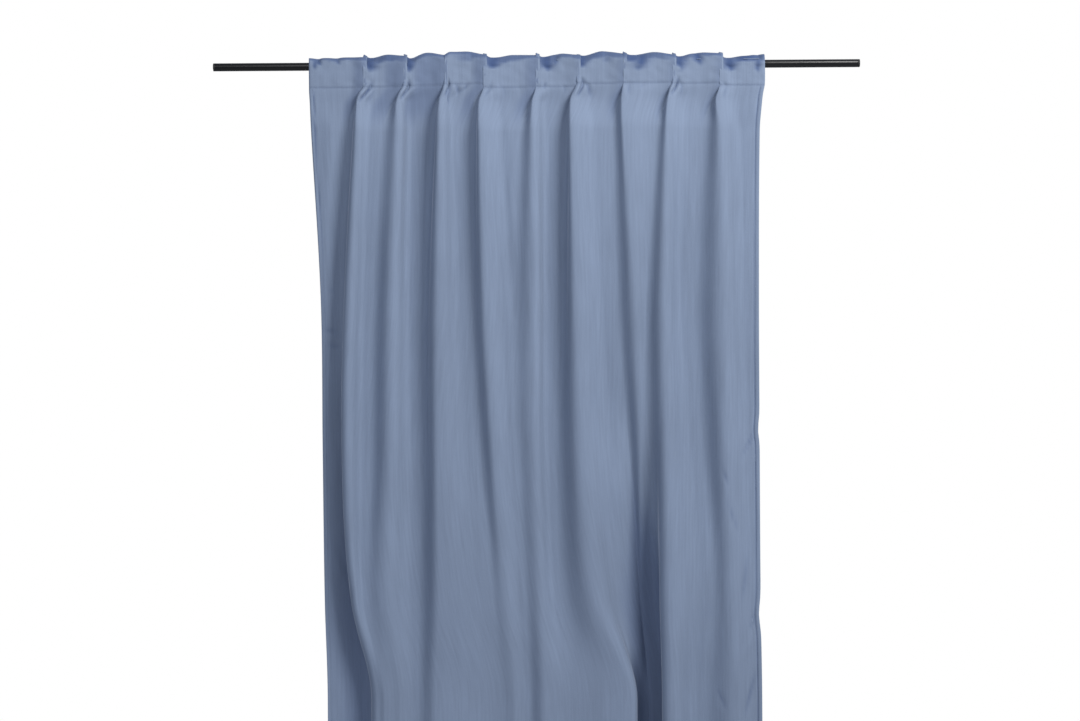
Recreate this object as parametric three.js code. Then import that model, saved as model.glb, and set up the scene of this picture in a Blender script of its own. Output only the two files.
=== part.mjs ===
// One velvet curtain panel with hidden back tabs, hanging on a plain round rod.
// Millimetres. X runs along the rod, -Y faces the room and +Z is up.
// The origin is on the rod's axis, at the middle of its length.
import * as THREE from "three";

// Rod
const ROD_DIAMETER = 19;
const ROD_LENGTH = 1550.6;
const ROD_SIDES = 48;
const PLUG_LENGTH = 5;
const PIECE_GAP = 0.3;

// Curtain panel: its finished flat size, how thick the cloth and its hems are, and how far the
// heading's back stands off the rod
const FLAT_WIDTH = 1300;
const DROP = 2400;
const CLOTH_THICKNESS = 1.6;
const HEM_THICKNESS = 2.6;
const SIDE_HEM_WIDTH = 10;
const FOOT_HEM_HEIGHT = 80;
const HEADING_CLEARANCE = 0.5;
const TOP_Z = 24;
const FOOT_Z = TOP_Z - DROP;

// Back tabs: strips sewn under the top edge and at the heading's stitch line, round the rod's back.
// TAB_PLACE is where in its section each one sits, from 0 at the left to 1 at the right.
const TAB_WIDTH = 38;
const TAB_THICKNESS = 1.5;
const TAB_TOP_Z = 11.5;
const TAB_FOOT_Z = -40;
const TAB_PLACE = 0.71;
const TAB_ARC_STEPS = 10;

// Colours
const CLOTH_COLOUR = 0x7f90aa;
const ROD_COLOUR = 0x1b1b1c;
const PLUG_COLOUR = 0x121213;

// The ten flat sections of the heading, from the left. left is where the section's fold edge stands.
// The other columns are heights above the rod's axis: the pointed corner, the dip beside it, the crown
// and the right end of the top edge, and the stitch line. lean is how far the top edge tips back.
const SECTIONS = [
  { left: -542, corner: 19, dip: 19, crown: 21, end: 21, stitch: -52, lean: 3 },
  { left: -416, corner: 25, dip: 24, crown: 28, end: 24, stitch: -51, lean: 7 },
  { left: -323, corner: 24, dip: 23, crown: 32, end: 24, stitch: -49, lean: 6 },
  { left: -226, corner: 26, dip: 32, crown: 34, end: 26, stitch: -45, lean: 4 },
  { left: -125, corner: 24, dip: 22, crown: 26, end: 23, stitch: -54, lean: 7 },
  { left: -4, corner: 25, dip: 23, crown: 28, end: 24, stitch: -53, lean: 5 },
  { left: 96, corner: 23, dip: 26, crown: 33, end: 26, stitch: -46, lean: 6 },
  { left: 201, corner: 28, dip: 25, crown: 31, end: 23, stitch: -45, lean: 7 },
  { left: 321, corner: 24, dip: 21, crown: 28, end: 25, stitch: -47, lean: 6 },
  { left: 435, corner: 24, dip: 18, crown: 20, end: 23, stitch: -52, lean: 7 },
];
const HEADING_RIGHT = 547;
const STITCH_Z = -48;

// Heights at which the folds are given. turn is the share of each section, from its fold edge,
// in which the cloth swings back, and the rest of the section lies flat.
const LEVELS = [
  { name: "heading", z: STITCH_Z, turn: 0.42, left: -545, right: 547 },
  { name: "neck", z: -86, turn: 0.45, left: -543, right: 540 },
  { name: "shoulder", z: -158, turn: 0.6, left: -540, right: 534 },
  { name: "chest", z: -564, turn: 0.7, left: -521, right: 529 },
  { name: "waist", z: -922, turn: 0.75, left: -520, right: 528 },
  { name: "knee", z: -1281, turn: 0.8, left: -518, right: 528 },
  { name: "shin", z: -1520, turn: 0.85, left: -512, right: 530 },
];

// One row for each fold, one column for each level above.
// Crests: place along the rod, and place in depth, where more negative stands further forward.
const CREST_X = [
  [-504, -497, -488, -505, -511, -508, -500],
  [-417, -427, -428, -446, -451, -434, -388],
  [-321, -332, -332, -348, -355, -370, -340],
  [-222, -230, -231, -238, -241, -241, -250],
  [-130, -136, -135, -126, -108, -84, -64],
  [-4, -9, -11, -10, -12, 0, 10],
  [94, 83, 82, 90, 104, 132, 214],
  [205, 204, 205, 224, 234, 246, 262],
  [323, 314, 309, 295, 292, 298, 309],
  [435, 429, 436, 440, 446, 456, 462],
];
const CREST_Y = [
  [-14, -17, -21, -6, 2, 7, 8],
  [-27, -33, -36, -37, -38, -38, -34],
  [-27, -33, -36, -34, -33, -28, -24],
  [-26, -32, -36, -35, -33, -30, -26],
  [-27, -33, -37, -34, -32, -28, -24],
  [-27, -33, -36, -34, -32, -28, -28],
  [-26, -34, -38, -38, -36, -34, -30],
  [-27, -33, -36, -30, -4, 30, 36],
  [-26, -33, -36, -38, -40, -46, -50],
  [-27, -33, -34, -34, -34, -32, -32],
];
// Valleys: the one on the right of each crest. The last fold runs out to the side edge.
const VALLEY_X = [
  [-417, -438, -463, -487, -488, -474, -442],
  [-321, -346, -373, -392, -402, -414, -368],
  [-222, -244, -261, -278, -281, -288, -293],
  [-130, -150, -163, -158, -140, -112, -95],
  [-3, -21, -43, -60, -53, -36, -28],
  [95, 76, 62, 50, 46, 54, 80],
  [207, 192, 182, 190, 216, 232, 252],
  [325, 305, 285, 260, 250, 260, 296],
  [437, 418, 393, 373, 391, 415, 410],
];
const VALLEY_Y = [
  [-11.3, -10, -5, 5, 12, 18, 20],
  [-11.3, -12, -18, -14, -14, -18, -24],
  [-11.3, -8, -6, -6, -6, -8, -16],
  [-11.3, -10, -8, -10, -12, -22, -20],
  [-11.3, -12, -20, -20, -22, -18, -14],
  [-11.3, -6, -4, 0, -4, -4, -22],
  [-11.3, -11, -18, -11, 4, 33, 37],
  [-11.3, -11, -18, -10, 4, 34, 38],
  [-11.3, -11, -18, -14, -12, -22, -16],
];
const EDGE_Y = {
  left: [-12.4, -12, -11, -7, -1, 4, 4],
  right: [-11.3, -10, -9, -12, -14, -14, -15],
};
// The depth about which the folds swell or shrink so that every height takes up the flat width.
const MIDDLE_Y = [-11.3, -11.3, -16, -16, -16, -16, -16];

// How finely the sheet is divided: columns between crest and valley, and rows down the panel.
const COLUMNS_BACK = 6;
const COLUMNS_FORWARD = 5;
const FOLD_EDGE_SPACING = 1.2;
const LARGEST_HEM_SHARE = 0.3;
const HEADING_ROWS = [1, 0.9, 0.45, 0];
const BODY_ROWS = [
  -56, -70, -90, -120, -158, -230, -330, -440, -564, -720, -880, -1040, -1200, -1360, -1520, -1900,
];
const LIFT_FADE_Z = -460;

const rodRadius = ROD_DIAMETER / 2;

// A number between two others, and the smooth step between 0 and 1.
const mix = (a, b, t) => a + (b - a) * t;
const smooth = (t) => {
  const clamped = Math.min(1, Math.max(0, t));
  return clamped * clamped * (3 - 2 * clamped);
};

// Reads a row of a table at height z, on a smooth curve through its columns.
function atHeight(row, z) {
  if (z >= LEVELS[0].z) {
    return row[0];
  }
  const last = LEVELS.length - 1;
  if (z <= LEVELS[last].z) {
    return row[last];
  }
  let i = 0;
  while (z < LEVELS[i + 1].z) {
    i += 1;
  }
  const slope = (k) => {
    if (k === 0 || k === last) {
      return 0;
    }
    return (row[k + 1] - row[k - 1]) / (LEVELS[k + 1].z - LEVELS[k - 1].z);
  };
  const span = LEVELS[i + 1].z - LEVELS[i].z;
  const t = (z - LEVELS[i].z) / span;
  const bend = (1 - t) * (1 - t) * t * span * slope(i) - (1 - t) * t * t * span * slope(i + 1);
  return mix(row[i], row[i + 1], smooth(t)) + bend;
}

// Mean run and mean rise of a stretch whose direction swings out to an angle and back.
// turn is the share of the stretch that swings, and the rest is straight.
const SWING_SAMPLES = 24;
function meanSwing(angle, turn) {
  let run = 0;
  let rise = 0;
  for (let i = 0; i < SWING_SAMPLES; i += 1) {
    const direction = angle * Math.sin((Math.PI * (i + 0.5)) / SWING_SAMPLES);
    run += Math.cos(direction) / SWING_SAMPLES;
    rise += Math.sin(direction) / SWING_SAMPLES;
  }
  return { run: 1 - turn + turn * run, rise: turn * rise };
}

// The swing angle and the length of cloth that join two places in plan.
const LARGEST_SWING = 3.2;
const BISECTIONS = 32;
function solveSwing(dx, dy, turn) {
  const wanted = Math.atan2(Math.abs(dy), dx);
  let low = 0;
  let high = LARGEST_SWING;
  for (let i = 0; i < BISECTIONS; i += 1) {
    const middle = (low + high) / 2;
    const mean = meanSwing(middle, turn);
    if (Math.atan2(mean.rise, mean.run) < wanted) {
      low = middle;
    } else {
      high = middle;
    }
  }
  const mean = meanSwing(low, turn);
  const length = Math.hypot(dx, dy) / Math.hypot(mean.run, mean.rise);
  return { angle: low * Math.sign(dy), length };
}

// The turning points of the panel in plan at height z, with the folds swollen by a factor.
function turningPoints(z, swell) {
  const middle = atHeight(MIDDLE_Y, z);
  const place = (x, y) => ({ x, y: middle + swell * (y - middle) });
  const points = [place(atHeight(LEVELS.map((level) => level.left), z), atHeight(EDGE_Y.left, z))];
  for (let k = 0; k < CREST_X.length; k += 1) {
    points.push(place(atHeight(CREST_X[k], z), atHeight(CREST_Y[k], z)));
    if (k < VALLEY_X.length) {
      points.push(place(atHeight(VALLEY_X[k], z), atHeight(VALLEY_Y[k], z)));
    }
  }
  points.push(place(atHeight(LEVELS.map((level) => level.right), z), atHeight(EDGE_Y.right, z)));
  return points;
}

// The stretches of cloth between turning points. Odd ones run from a crest back to a valley.
function stretches(z, swell) {
  const points = turningPoints(z, swell);
  const turn = atHeight(LEVELS.map((level) => level.turn), z);
  return points.slice(1).map((end, i) => {
    const start = points[i];
    const share = i % 2 === 1 ? turn : 1;
    const solved = solveSwing(end.x - start.x, end.y - start.y, share);
    return { start, end, turn: share, ...solved };
  });
}

// The panel in plan at height z: the folds swell until the cloth measures its flat width.
const SMALLEST_SWELL = 0.3;
const LARGEST_SWELL = 3;
function planLine(z) {
  let low = SMALLEST_SWELL;
  let high = LARGEST_SWELL;
  for (let i = 0; i < BISECTIONS / 2; i += 1) {
    const middle = (low + high) / 2;
    const total = stretches(z, middle).reduce((sum, stretch) => sum + stretch.length, 0);
    if (total < FLAT_WIDTH) {
      low = middle;
    } else {
      high = middle;
    }
  }
  return stretches(z, low);
}

// A point of a stretch, at a share of its length, with the direction in which the cloth runs there.
function alongStretch(stretch, share) {
  const steps = Math.max(1, Math.round(share * SWING_SAMPLES * 2));
  const direction = (u) => stretch.angle * Math.sin(Math.PI * Math.min(1, u / stretch.turn));
  let x = stretch.start.x;
  let y = stretch.start.y;
  for (let i = 0; i < steps; i += 1) {
    const heading = direction(((i + 0.5) / steps) * share);
    x += (Math.cos(heading) * stretch.length * share) / steps;
    y += (Math.sin(heading) * stretch.length * share) / steps;
  }
  return { x, y, heading: direction(share) };
}

// Columns of the sheet, each at a share of one stretch. The columns of a side hem's inner edge
// are placed by the hem's width instead.
function sheetColumns() {
  const columns = [{ stretch: 0, share: 0, side: true }, { stretch: 0, share: 0, hem: "left", side: true }];
  const last = 2 * CREST_X.length - 1;
  for (let s = 0; s <= last; s += 1) {
    const parts = s % 2 === 1 ? COLUMNS_BACK : COLUMNS_FORWARD;
    const begin = s === 0 ? 2 : 1;
    const end = s === last ? parts - 2 : parts;
    for (let i = begin; i <= end; i += 1) {
      columns.push({ stretch: s, share: s % 2 === 1 ? (i / parts) ** FOLD_EDGE_SPACING : i / parts });
    }
  }
  columns.push({ stretch: last, share: 1, hem: "right", side: true });
  columns.push({ stretch: last, share: 1, side: true });
  return columns;
}

// The share of its stretch at which a column lies.
function shareOf(column, stretch) {
  const hemShare = Math.min(LARGEST_HEM_SHARE, SIDE_HEM_WIDTH / stretch.length);
  if (column.hem === "left") {
    return hemShare;
  }
  return column.hem === "right" ? 1 - hemShare : column.share;
}

// Heights of the top edge and the stitch line, and the lean of the top edge, at one column.
const DIP_SHARE = 0.16;
const CROWN_SHARE = 0.55;
function headingAt(column) {
  const fold = Math.floor((column.stretch + 1) / 2);
  if (column.stretch % 2 === 0) {
    const before = SECTIONS[Math.max(0, fold - 1)];
    const after = SECTIONS[fold];
    const t = column.hem ? LARGEST_HEM_SHARE : column.share;
    const start = fold === 0 ? after.corner : before.end;
    return {
      top: mix(start, after.corner, smooth(t)),
      stitch: mix(before.stitch, after.stitch, smooth(t)),
      lean: fold === 0 ? after.lean * t : 0,
    };
  }
  const section = SECTIONS[fold - 1];
  const t = column.share;
  let top = mix(section.crown, section.end, smooth((t - CROWN_SHARE) / (1 - CROWN_SHARE)));
  if (t < DIP_SHARE) {
    top = mix(section.corner, section.dip, smooth(t / DIP_SHARE));
  } else if (t < CROWN_SHARE) {
    top = mix(section.dip, section.crown, smooth((t - DIP_SHARE) / (CROWN_SHARE - DIP_SHARE)));
  }
  return { top, stitch: section.stitch, lean: section.lean * Math.sin(Math.PI * Math.sqrt(t)) };
}

// A closed sheet from two grids of points, one for each face, with rows that run downwards.
function closedSheet(front, back) {
  const rows = front.length;
  const columns = front[0].length;
  const positions = [...front.flat(), ...back.flat()].flatMap((point) => [point.x, point.y, point.z]);
  const at = (side, i, j) => side * rows * columns + i * columns + j;
  const indices = [];
  const quad = (a, b, c, d) => indices.push(a, b, c, a, c, d);
  for (let i = 0; i < rows - 1; i += 1) {
    for (let j = 0; j < columns - 1; j += 1) {
      quad(at(0, i, j), at(0, i + 1, j), at(0, i + 1, j + 1), at(0, i, j + 1));
      quad(at(1, i, j), at(1, i, j + 1), at(1, i + 1, j + 1), at(1, i + 1, j));
    }
    quad(at(0, i, 0), at(1, i, 0), at(1, i + 1, 0), at(0, i + 1, 0));
    const end = columns - 1;
    quad(at(0, i, end), at(0, i + 1, end), at(1, i + 1, end), at(1, i, end));
  }
  for (let j = 0; j < columns - 1; j += 1) {
    quad(at(0, 0, j), at(0, 0, j + 1), at(1, 0, j + 1), at(1, 0, j));
    const foot = rows - 1;
    quad(at(0, foot, j), at(1, foot, j), at(1, foot, j + 1), at(0, foot, j + 1));
  }
  const geometry = new THREE.BufferGeometry();
  geometry.setAttribute("position", new THREE.Float32BufferAttribute(positions, 3));
  geometry.setIndex(indices);
  geometry.computeVertexNormals();
  return geometry;
}

// The curtain panel: heading, body with its folds, and hems, in one sheet.
function panelGeometry() {
  const columns = sheetColumns();
  const bodyRows = [...BODY_ROWS, FOOT_Z + FOOT_HEM_HEIGHT, FOOT_Z];
  const rows = [
    ...HEADING_ROWS.map((rise) => ({ rise, z: STITCH_Z, thick: true })),
    ...bodyRows.map((z) => ({ rise: null, z, thick: z <= FOOT_Z + FOOT_HEM_HEIGHT })),
  ];
  const front = [];
  const back = [];
  for (const row of rows) {
    const line = planLine(row.z);
    const frontRow = [];
    const backRow = [];
    for (const column of columns) {
      const stretch = line[column.stretch];
      const point = alongStretch(stretch, shareOf(column, stretch));
      const heading = headingAt(column);
      const top = row.rise === null ? 0 : row.rise * (heading.top - heading.stitch);
      const fade = smooth((row.z - LIFT_FADE_Z) / (STITCH_Z - LIFT_FADE_Z));
      const z = row.z + top + (heading.stitch - STITCH_Z) * fade;
      const lean = row.rise === 1 ? heading.lean : 0;
      const half = (row.thick || column.side ? HEM_THICKNESS : CLOTH_THICKNESS) / 2;
      const outX = -Math.sin(point.heading) * half;
      const outY = Math.cos(point.heading) * half;
      frontRow.push(new THREE.Vector3(point.x - outX, point.y - outY + lean, z));
      backRow.push(new THREE.Vector3(point.x + outX, point.y + outY + lean, z));
    }
    front.push(frontRow);
    back.push(backRow);
  }
  return closedSheet(front, back);
}

// A back tab in the plane across the rod: from the panel's back over the rod, round it and down.
function tabPath() {
  const panelBack = -rodRadius - HEADING_CLEARANCE + PIECE_GAP;
  const radius = rodRadius + PIECE_GAP + TAB_THICKNESS / 2;
  const tangentAngle = (y, z, side) => Math.atan2(z, y) + side * Math.acos(radius / Math.hypot(y, z));
  const from = tangentAngle(panelBack, TAB_TOP_Z, -1);
  const to = tangentAngle(panelBack, TAB_FOOT_Z, 1);
  const points = [new THREE.Vector2(panelBack, TAB_TOP_Z)];
  for (let i = 0; i <= TAB_ARC_STEPS; i += 1) {
    const angle = mix(from, to, i / TAB_ARC_STEPS);
    points.push(new THREE.Vector2(radius * Math.cos(angle), radius * Math.sin(angle)));
  }
  points.push(new THREE.Vector2(panelBack, TAB_FOOT_Z));
  return points;
}

function tabGeometry(centre) {
  const path = tabPath();
  const front = [];
  const back = [];
  path.forEach((point, i) => {
    const before = path[Math.max(0, i - 1)];
    const after = path[Math.min(path.length - 1, i + 1)];
    const along = after.clone().sub(before).normalize();
    const inward = new THREE.Vector2(along.y, -along.x).multiplyScalar(TAB_THICKNESS / 2);
    if (i === 0 || i === path.length - 1) {
      inward.set(0, -TAB_THICKNESS / 2 / along.x);
    }
    const row = (side) =>
      [-0.5, 0.5].map(
        (edge) =>
          new THREE.Vector3(
            centre + edge * TAB_WIDTH,
            point.x + side * inward.x,
            point.y + side * inward.y,
          ),
      );
    front.push(row(1));
    back.push(row(-1));
  });
  return closedSheet(front, back);
}

// A round bar or plug that lies along X from its left end.
function barGeometry(left, length) {
  const geometry = new THREE.CylinderGeometry(rodRadius, rodRadius, length, ROD_SIDES);
  geometry.rotateZ(Math.PI / 2);
  geometry.translate(left + length / 2, 0, 0);
  return geometry;
}

function named(name, geometry, material) {
  const mesh = new THREE.Mesh(geometry, material);
  mesh.name = name;
  return mesh;
}

const cloth = new THREE.MeshStandardMaterial({ color: CLOTH_COLOUR, roughness: 0.95, metalness: 0 });
const paint = new THREE.MeshStandardMaterial({ color: ROD_COLOUR, roughness: 0.4, metalness: 0.3 });
const plastic = new THREE.MeshStandardMaterial({ color: PLUG_COLOUR, roughness: 0.6, metalness: 0 });

const barLength = ROD_LENGTH - 2 * (PLUG_LENGTH + PIECE_GAP);
const curtain = new THREE.Group();
curtain.add(named("rod", barGeometry(-barLength / 2, barLength), paint));
curtain.add(named("rod_plug_left", barGeometry(-ROD_LENGTH / 2, PLUG_LENGTH), plastic));
curtain.add(named("rod_plug_right", barGeometry(ROD_LENGTH / 2 - PLUG_LENGTH, PLUG_LENGTH), plastic));
curtain.add(named("curtain_panel", panelGeometry(), cloth));
SECTIONS.forEach((section, i) => {
  const next = SECTIONS[i + 1] ? SECTIONS[i + 1].left : HEADING_RIGHT;
  const centre = mix(section.left, next, TAB_PLACE);
  const number = String(i + 1).padStart(2, "0");
  curtain.add(named(`back_tab_${number}`, tabGeometry(centre), cloth));
});

export default curtain;
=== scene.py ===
# A velvet curtain panel with hidden back tabs, hung on a plain black rod.
# X runs along the rod, -Y faces the room and +Z is up. The origin is the rod's axis at mid-length.
import math

import bmesh
import bpy
import numpy as np
from bpy.props import FloatProperty, FloatVectorProperty, IntProperty, PointerProperty
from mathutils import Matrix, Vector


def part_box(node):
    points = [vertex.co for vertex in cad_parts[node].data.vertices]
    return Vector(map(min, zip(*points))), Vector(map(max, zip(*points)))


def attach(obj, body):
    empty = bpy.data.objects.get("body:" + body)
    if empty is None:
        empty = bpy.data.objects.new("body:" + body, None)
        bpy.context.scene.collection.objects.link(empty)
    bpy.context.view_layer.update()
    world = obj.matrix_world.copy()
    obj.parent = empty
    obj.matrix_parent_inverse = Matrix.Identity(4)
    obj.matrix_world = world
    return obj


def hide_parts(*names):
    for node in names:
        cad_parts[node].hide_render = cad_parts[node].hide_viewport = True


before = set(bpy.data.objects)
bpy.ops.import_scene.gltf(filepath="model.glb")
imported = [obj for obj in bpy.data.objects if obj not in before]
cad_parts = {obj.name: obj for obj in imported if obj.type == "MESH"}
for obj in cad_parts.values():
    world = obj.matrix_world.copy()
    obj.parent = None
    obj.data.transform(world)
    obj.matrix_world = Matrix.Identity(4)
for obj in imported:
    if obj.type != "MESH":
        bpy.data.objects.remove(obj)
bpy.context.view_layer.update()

bl_info = {
    "name": "Back Tab Curtain",
    "version": (1, 0, 0),
    "blender": (4, 5, 0),
    "location": "3D View > Sidebar > Curtain",
    "description": "Builds a velvet curtain panel on a rod, with its tabs, stitches and studio",
    "category": "Add Mesh",
}

MM = 0.001
ROD_LOW, ROD_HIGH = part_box("rod")
PANEL_LOW, PANEL_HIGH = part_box("curtain_panel")
ROD_RADIUS_MM = (ROD_HIGH[2] - ROD_LOW[2]) / 2 / MM
FOOT_Z = PANEL_LOW[2] / MM
TAB_NODES = sorted(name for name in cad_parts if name.startswith("back_tab_"))

# The heading's ten flat sections: heights above the rod's axis, in millimetres, of the corner, the dip
# beside it, the crown and the right end of the top edge, and of the stitch line.
SECTIONS = np.array([
    [19, 19, 21, 21, -52],
    [29, 22, 28, 24, -51],
    [29, 20, 32, 24, -49],
    [26, 32, 34, 26, -45],
    [29, 20, 26, 23, -54],
    [29, 21, 28, 24, -53],
    [27, 24, 33, 26, -46],
    [31, 24, 31, 23, -45],
    [28, 20, 28, 25, -47],
    [28, 17, 20, 23, -52],
], float)
STITCH_Z = -48

# Heights at which the folds are given, and at each the share of a section in which the cloth swings
# back. A crest is crisp on its left where the crispness is above 1, because the cloth turns late.
LEVEL_Z = np.array([STITCH_Z, -86, -158, -564, -922, -1281, -1520], float)
LEVEL_TURN = (0.42, 0.45, 0.6, 0.7, 0.75, 0.8, 0.85)
LEVEL_CRISPNESS = (1.7, 1.7, 1.5, 1.0, 1.0, 1.0, 1.0)
EDGE_X = ([-545, -543, -540, -521, -520, -518, -512], [547, 540, 534, 529, 528, 528, 530])
EDGE_Y = ([-12.4, -14, -15, -8, -1, 4, 4], [-11.3, -10, -9, -12, -14, -14, -15])
MIDDLE_Y = (-11.3, -11.3, -16, -16, -16, -16, -16)

# Crests and the valleys on their right: a row for each fold, a column for each level above.
CREST_X = (
    [-504, -511, -494, -511, -514, -511, -505],
    [-414, -427, -428, -447, -456, -438, -388],
    [-318, -332, -332, -348, -355, -370, -340],
    [-219, -230, -231, -238, -241, -241, -250],
    [-127, -136, -135, -126, -108, -84, -64],
    [-1, -9, -11, -10, -12, 0, 10],
    [97, 83, 82, 90, 98, 128, 213],
    [208, 204, 205, 229, 243, 248, 264],
    [326, 314, 309, 298, 303, 309, 309],
    [438, 429, 436, 440, 446, 456, 462],
)
CREST_Y = (
    [-14, -14, -18, -9, -2, 4, 6],
    [-24, -33, -36, -37, -38, -32, -23],
    [-24, -33, -36, -34, -33, -28, -24],
    [-23, -32, -36, -35, -33, -30, -26],
    [-24, -33, -37, -34, -32, -28, -24],
    [-24, -33, -36, -34, -32, -28, -28],
    [-23, -34, -38, -38, -36, -34, -30],
    [-24, -33, -36, -31, -12, 25, 31],
    [-23, -33, -36, -37, -35, -42, -50],
    [-24, -33, -34, -34, -34, -32, -32],
)
VALLEY_X = (
    [-410, -436, -458, -476, -466, -452, -422],
    [-314, -346, -373, -392, -402, -414, -368],
    [-215, -244, -261, -278, -281, -288, -293],
    [-123, -150, -163, -158, -140, -112, -95],
    [3, -21, -43, -60, -53, -36, -28],
    [101, 76, 62, 50, 42, 50, 76],
    [212, 192, 182, 190, 218, 242, 260],
    [330, 305, 285, 261, 262, 269, 296],
    [442, 418, 393, 373, 391, 411, 392],
)
VALLEY_Y = (
    [-11.3, -10, -15, -5, 5, 14, 19],
    [-11.3, -12, -24, -19, -17, -22, -26],
    [-11.3, -4, -8, -10, -9, -8, -11],
    [-11.3, -8, -14, -17, -18, -24, -20],
    [-11.3, -10, -24, -23, -24, -20, -14],
    [-11.3, -8, -14, -11, -11, -12, -22],
    [-11.3, -10, -24, -18, -1, 26, 32],
    [-11.3, -10, -25, -22, -10, 27, 34],
    [-11.3, -8, -18, -15, -13, -20, -11],
)
FOLDS = len(CREST_X)

# Hollows under the top edge where the heading tips back over the rod: the fold, counted from 0, the
# foot's distance from the fold edge along the cloth, the width, the height, how far it leans back, and
# how far to the right of its foot it starts at the top edge. Sizes are millimetres.
SCOOPS = (
    (0, -27, 3, 28, 9, 0), (0, -15, 3, 22, 10, -4), (0, 30, 4, 18, 9, -6), (0, 55, 28, 9, 4, 0),
    (1, 11, 12, 37, 19, 5), (1, 55, 34, 18, 9, 0),
    (2, 12, 8, 37, 17, 3), (2, 50, 34, 10, 5, 0), (2, 58, 6, 26, 4, 0),
    (3, 52, 14, 24, 6, 4), (3, 78, 16, 16, 6, 0),
    (4, 15, 15, 33, 17, 10), (4, 62, 14, 19, 8, 6), (4, 95, 24, 12, 6, 0),
    (5, 30, 10, 40, 18, -7), (5, 42, 4, 34, 9, 8), (5, 70, 26, 11, 6, 0),
    (6, 7, 10, 32, 17, 7), (6, 45, 34, 17, 9, 0), (6, 72, 6, 28, 5, 3),
    (7, 36, 10, 40, 16, 12), (7, 22, 20, 22, 12, 0), (7, 75, 26, 17, 8, 0),
    (8, 12, 10, 33, 17, 4), (8, 66, 5, 34, 12, -8), (8, 85, 26, 10, 5, 0),
    (9, 23, 9, 41, 18, 4), (9, 65, 32, 18, 11, 0), (9, 92, 4, 42, 9, 2),
)
# Stretches that swing back over their whole width, and the one that stays forward beside the pit,
# with the heights from which it starts and stops doing so and how far each change reaches down.
SLOW_STRETCHES = [1, 15]
SHELF_STRETCH = 13
SHELF_DEPTH = 26
SHELF_FADES = ((-780, 260), (-1390, 130))
# The cloth's stand-off from the rod, and how high and how far its top edge rolls back.
ROD_CLEARANCE = 1.9
EDGE_ROLL_HEIGHT = 7.5
EDGE_ROLL_LEAN = 3.2

# The share of each section after which its right end gets painted shade, down to the neck's foot.
DIM_STARTS = (0.6, 0.4, 0.12, 0.6, 0.68, 0.85, 0.75, 0.8, 0.8, 1.0)

# Pinches where a folded heading opens below its stitch line: the fold, the places from its edge and
# the heights of both ends, the depth and the width, in millimetres. A ridge stands on each one's left.
PINCHES = (
    (1, 20, -42, 5, -86, 10.0, 5.5), (1, 26, -56, 32, -92, 2.0, 6.0),
    (2, 13, -38, 9, -80, 10.0, 5.0), (2, 44, -50, 28, -66, 1.8, 4.0),
    (3, 7, -34, 12, -78, 8.0, 4.4), (3, 13, -50, 28, -98, 5.0, 4.6),
    (3, 26, -48, 42, -68, 4.5, 4.4), (3, 56, -46, 40, -68, 4.5, 4.4),
    (4, 18, -46, 9, -78, 3.6, 5.0), (4, 40, -46, 60, -78, 1.4, 6.0),
    (5, 24, -44, 17, -58, 4.0, 4.4), (5, 66, -50, 72, -68, 2.0, 4.0),
    (6, 12, -36, 15, -78, 10.0, 5.0), (6, 14, -38, 50, -78, 4.5, 5.5),
    (7, 12, -46, 14, -76, 2.4, 6.0), (7, 50, -46, 40, -60, 1.6, 4.4),
    (8, 13, -36, 5, -74, 9.0, 4.8), (8, 15, -38, 34, -80, 3.0, 5.0),
    (9, 16, -54, 18, -86, 2.2, 6.0), (9, 6, -46, 20, -58, 1.8, 4.0),
)

# Creases lower down: places along the rod and heights of both ends, depth and width, in millimetres.
# A negative depth is a ridge.
CREASES = (
    (-515, -632, -478, -640, 1.6, 6), (-512, -654, -484, -648, -1.4, 6), (-508, -666, -474, -672, 1.3, 6),
    (-506, -532, -488, -540, 1.0, 5), (-500, -556, -486, -548, -0.8, 5),
    (-284, -712, -232, -709, -0.7, 5), (-82, -716, -14, -713, -0.7, 5), (-390, -1164, -362, -1162, -0.8, 5),
    (-86, -90, -62, -600, 3.2, 11),
    (465, -56, 479, -330, -2.6, 12), (333, -60, 351, -330, -2.6, 12), (111, -60, 126, -210, -2.2, 10),
    (-107, -60, -100, -250, -2.2, 9), (-208, -84, -188, -300, -1.8, 14),
    (436, -972, 449, -1003, 1.8, 4), (446, -1051, 475, -1116, 1.6, 4.5), (463, -1037, 484, -1099, -1.2, 4),
    (524, -872, 484, -940, 2.0, 4.5), (524, -888, 490, -980, -1.6, 6), (498, -1174, 482, -1290, 1.4, 6),
    (521, -1313, 502, -1351, 2.8, 4), (520, -1364, 476, -1424, -2.0, 7), (500, -1290, 486, -1404, -1.4, 9),
    (422, -1495, 444, -1543, 1.8, 4.5), (515, -1457, 486, -1563, 2.2, 5), (525, -1476, 503, -1563, -1.4, 4),
    (-488, -1166, -447, -1264, 2.4, 4), (-494, -1180, -462, -1262, -1.6, 5),
    (-490, -1472, -470, -1464, 1.4, 4), (-504, -1290, -470, -1330, 1.0, 5),
)
# Where the hem's stitching draws the right-hand edge in: height, reach up and down, and depth.
EDGE_PUCKERS = ((-876, 26, 3.5), (-1319, 34, 4.5), (-66, 16, 2.0))

# Steps in which the plan of a stretch is added up, the largest swing angle, how far the folds' depth
# may swell to reach the flat width, and how often the swell, its trials and the last angles are halved.
PLAN_STEPS = 60
SWING_LIMIT = 3.6
SWELL_RANGE = (0.3, 3.0)
SWELL_ROUNDS, TRIAL_ROUNDS, FINAL_ROUNDS = 12, 14, 24
# Columns from a crest to the valley on its right, and on to the next crest.
COLUMNS_BACK, COLUMNS_FORWARD = 30, 14
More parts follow.
